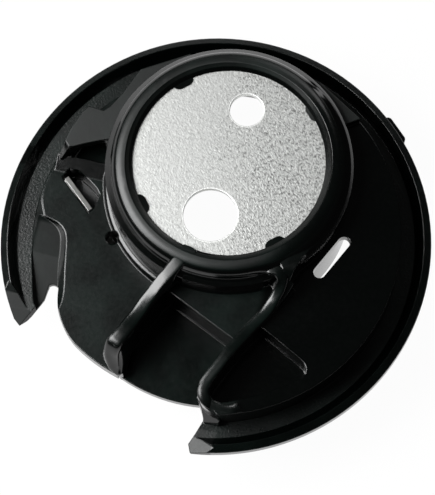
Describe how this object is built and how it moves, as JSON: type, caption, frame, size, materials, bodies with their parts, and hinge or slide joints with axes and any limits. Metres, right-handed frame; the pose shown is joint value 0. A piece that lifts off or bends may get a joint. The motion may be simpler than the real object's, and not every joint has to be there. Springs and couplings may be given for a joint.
{
  "type": "sewing machine bobbin case",
  "caption": "Drop-in bobbin case: black moulded cup with a race rim, set-in steel base plate, thread tension leaf and its adjusting screw.",
  "frame": {"origin": "on the race axis, in the running face of the race rim", "axes": "+Z along the race axis out of the closed end, which carries the base plate; +Y from the race axis to the well axis; +X completes the right-handed frame"},
  "size_m": [0.046, 0.0458, 0.0149],
  "materials": {
    "black_plastic": "satin black, fine grain on the rim's flat band",
    "spangled_zinc": "zinc-plated sheet with a fine spangle",
    "spring_steel": "bright rolled strip",
    "screw_steel": "bright nickel-plated"
  },
  "bodies": {
    "case": {"case_body": "black_plastic", "base_plate": "spangled_zinc", "tension_spring": "spring_steel", "spring_screw": "screw_steel"},
    "spring_tip": {"tension_spring_tip": "spring_steel"},
    "adjuster": {"tension_screw": "screw_steel"}
  },
  "joints": [
    {"name": "spring_flex", "type": "hinge", "parent": "case", "child": "spring_tip", "pos_m": [-0.00982, -0.00349, -0.0053], "axis": [0, 0, -1], "range_deg": [0, 4], "stiffness_Nm_per_rad": 0.15, "springref_deg": -1.72},
    {"name": "tension_turn", "type": "hinge", "parent": "case", "child": "adjuster", "pos_m": [-0.01078, -0.00201, -0.0053], "axis": [-0.6508, -0.7593, 0], "range_deg": [-180, 180]}
  ]
}
